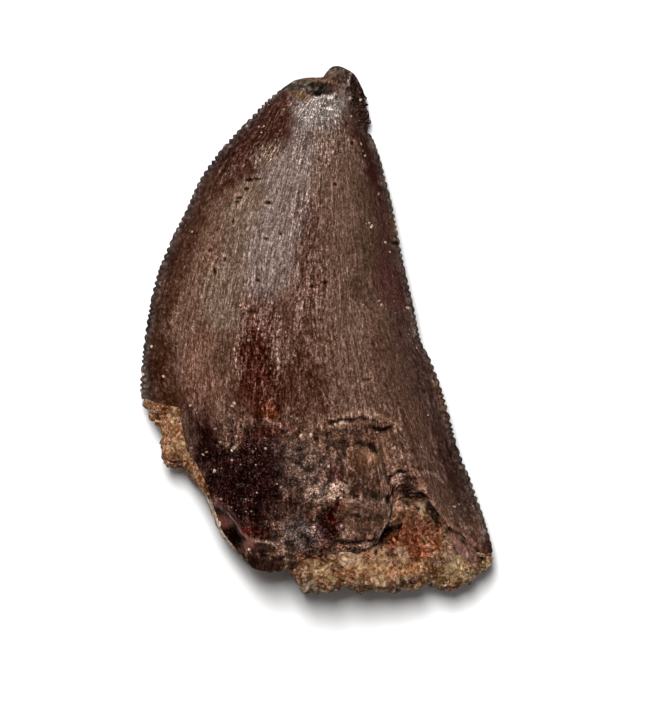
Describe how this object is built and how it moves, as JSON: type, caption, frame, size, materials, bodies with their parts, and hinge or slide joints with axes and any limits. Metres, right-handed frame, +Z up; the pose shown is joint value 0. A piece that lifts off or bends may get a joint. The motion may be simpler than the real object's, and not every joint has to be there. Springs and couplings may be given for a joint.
{
  "type": "fossil theropod tooth",
  "caption": "Serrated, laterally flattened fossil tooth crown with a chipped tip, lying on its side, its slanting broken base filled with sandstone.",
  "frame": {"origin": "centre of the tooth's bounding rectangle on the surface that it lies on", "axes": "+Y along the crown from its broken base to its tip, +X towards the distal (straighter) serrated edge, +Z up out of the labial face"},
  "size_m": [0.0214, 0.032, 0.0084],
  "materials": {
    "fossil_enamel": "dark brown fossil enamel, satin, with fine lengthwise grain",
    "sandstone": "rough tan and rust sandstone, dull and grainy"
  },
  "bodies": {
    "root": {"crown": "fossil_enamel", "sandstone": "sandstone"}
  },
  "joints": []
}
